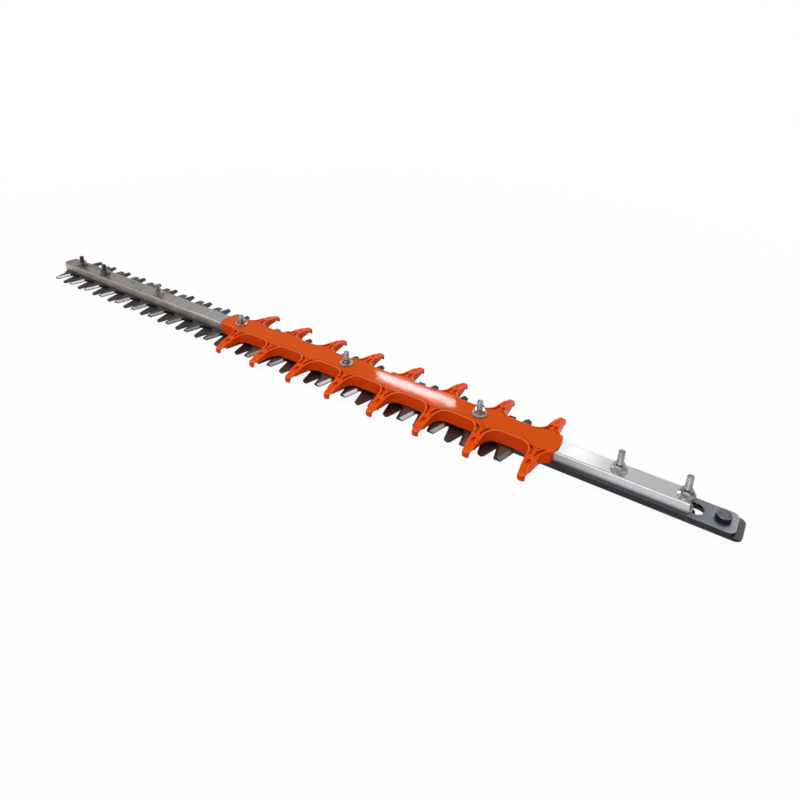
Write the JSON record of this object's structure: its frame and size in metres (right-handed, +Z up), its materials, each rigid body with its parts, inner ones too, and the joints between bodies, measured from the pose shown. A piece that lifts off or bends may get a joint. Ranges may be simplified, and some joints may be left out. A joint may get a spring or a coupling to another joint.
{
  "type": "hedge trimmer cutter bar",
  "caption": "Double-sided cutter bar: toothed blades slide against each other under a guide bar, with a pronged moulded guard and studs for the gearbox.",
  "frame": {"origin": "centre of the gearbox seat: on the guide bar's top face, midway between the two long studs", "axes": "+X along the bar towards the drive end, +Z up out of the bar's top face, +Y to the left"},
  "size_m": [0.786, 0.0866, 0.0342],
  "materials": {
    "bar_aluminium": "satin extruded, duller towards the tip",
    "upper_blade_steel": "ground steel, bright bevels",
    "lower_blade_steel": "dark ground steel",
    "pin_steel": "turned steel",
    "guard_plastic": "glossy orange moulding",
    "zinc_fasteners": "zinc plating",
    "bush_steel": "turned steel"
  },
  "bodies": {
    "bar_assembly": {"guide_bar": "bar_aluminium", "blade_guard": "guard_plastic", "bolt_tip_front": "zinc_fasteners", "bolt_tip_rear": "zinc_fasteners", "bolt_forward": "zinc_fasteners", "bolt_guard_front": "zinc_fasteners", "bolt_guard_middle": "zinc_fasteners", "bolt_guard_rear": "zinc_fasteners", "bolt_seat_front": "zinc_fasteners", "bolt_seat_rear": "zinc_fasteners", "bush_tip_front": "bush_steel", "bush_tip_rear": "bush_steel", "bush_forward": "bush_steel", "bush_guard_front": "bush_steel", "bush_guard_middle": "bush_steel", "bush_guard_rear": "bush_steel", "bush_seat_front": "bush_steel", "bush_seat_rear": "bush_steel", "washer_tip_front": "zinc_fasteners", "washer_tip_rear": "zinc_fasteners", "washer_forward": "zinc_fasteners", "washer_guard_front": "zinc_fasteners", "washer_guard_middle": "zinc_fasteners", "washer_guard_rear": "zinc_fasteners", "washer_seat_front": "zinc_fasteners", "washer_seat_rear": "zinc_fasteners", "nut_tip_front": "zinc_fasteners", "nut_tip_rear": "zinc_fasteners", "nut_forward": "zinc_fasteners", "nut_guard_front": "zinc_fasteners", "nut_guard_middle": "zinc_fasteners", "nut_guard_rear": "zinc_fasteners", "nut_seat_front": "zinc_fasteners", "nut_seat_rear": "zinc_fasteners"},
    "upper_blade": {"upper_blade": "upper_blade_steel", "upper_drive_pin": "pin_steel"},
    "lower_blade": {"lower_blade": "lower_blade_steel", "lower_drive_pin": "pin_steel"}
  },
  "joints": [
    {"name": "upper_blade_slide", "type": "slide", "parent": "bar_assembly", "child": "upper_blade", "axis": [1, 0, 0], "range_m": [-0.0069, 0.0081]},
    {"name": "lower_blade_slide", "type": "slide", "parent": "bar_assembly", "child": "lower_blade", "axis": [1, 0, 0], "range_m": [-0.0081, 0.0069]}
  ]
}
